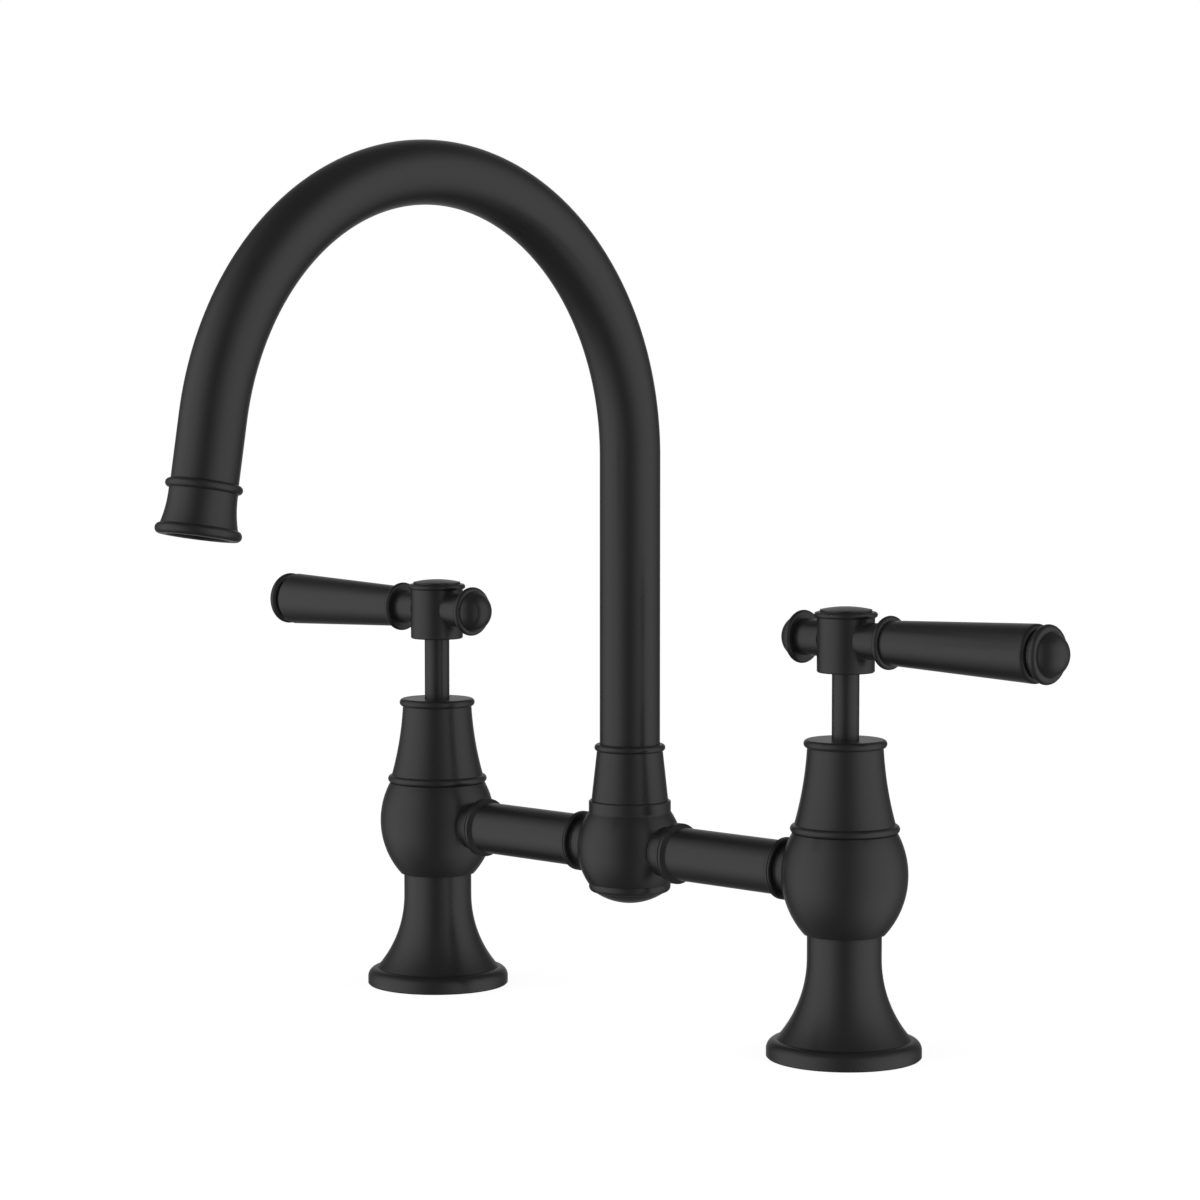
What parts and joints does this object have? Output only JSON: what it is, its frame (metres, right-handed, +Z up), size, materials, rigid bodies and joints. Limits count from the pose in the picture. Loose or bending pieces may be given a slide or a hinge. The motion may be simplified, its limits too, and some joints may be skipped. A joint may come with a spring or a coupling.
{
  "type": "bridge kitchen faucet",
  "caption": "Deck-mounted bridge kitchen faucet: valve pillars joined by a bridge, a swivelling gooseneck spout and quarter-turn levers, in black.",
  "frame": {"origin": "on the worktop plane, midway between the inlet shanks", "axes": "+X along the bridge to the right-hand pillar, -Y forward along the spout, +Z up"},
  "size_m": [0.3878, 0.2433, 0.3754],
  "materials": {
    "black_finish": "satin black coating on brass",
    "black_grip": "satin black coating on metal",
    "brass": "turned, bare",
    "steel": "stainless, turned",
    "rubber": "matte black rubber",
    "ceramic": "lapped alumina ceramic",
    "bearing_plastic": "white acetal",
    "aerator_plastic": "black moulded plastic"
  },
  "bodies": {
    "body": {"skirt_left": "black_finish", "skirt_right": "black_finish", "valve_body_left": "black_finish", "valve_body_right": "black_finish", "bonnet_left": "black_finish", "bonnet_right": "black_finish", "bridge_tube_left": "black_finish", "bridge_tube_right": "black_finish", "inlet_shank_left": "brass", "inlet_shank_right": "brass", "cartridge_left": "brass", "cartridge_right": "brass", "base_gaskets": "rubber", "clamp_washers_rubber": "rubber", "clamp_washers_steel": "steel", "back_nuts": "brass", "seat_seals": "rubber", "cartridge_gaskets": "rubber", "fixed_discs": "ceramic", "bridge_collars": "black_finish", "bridge_orings": "rubber", "centre_body": "black_finish", "bottom_cap": "black_finish", "spout_nut": "black_finish", "spout_bearing": "bearing_plastic"},
    "spout": {"spout_tube": "black_finish", "spout_tail": "brass", "spout_clip": "steel", "spout_orings": "rubber", "outlet_shell": "black_finish", "aerator_seal": "rubber", "aerator_housing": "aerator_plastic", "aerator_screen": "steel"},
    "handle_left": {"spindle_left": "brass", "spindle_clip_left": "steel", "spindle_orings_left": "rubber", "moving_disc_left": "ceramic", "stem_left": "black_finish", "hub_left": "black_finish", "hub_screw_left": "steel", "hub_cap_left": "black_finish", "knob_left": "black_finish", "ferrule_left": "black_finish", "grip_left": "black_grip", "end_cap_left": "black_finish", "lever_stud_left": "steel"},
    "handle_right": {"spindle_right": "brass", "spindle_clip_right": "steel", "spindle_orings_right": "rubber", "moving_disc_right": "ceramic", "stem_right": "black_finish", "hub_right": "black_finish", "hub_screw_right": "steel", "hub_cap_right": "black_finish", "knob_right": "black_finish", "ferrule_right": "black_finish", "grip_right": "black_grip", "end_cap_right": "black_finish", "lever_stud_right": "steel"}
  },
  "joints": [
    {"name": "spout_swivel", "type": "hinge", "parent": "body", "child": "spout", "pos_m": [0, 0, 0.0932], "axis": [0, 0, 1], "continuous": true},
    {"name": "left_lever", "type": "hinge", "parent": "body", "child": "handle_left", "pos_m": [-0.1016, 0, 0.145], "axis": [0, 0, 1], "range_deg": [0, 90]},
    {"name": "right_lever", "type": "hinge", "parent": "body", "child": "handle_right", "pos_m": [0.1016, 0, 0.145], "axis": [0, 0, -1], "range_deg": [0, 90]}
  ]
}
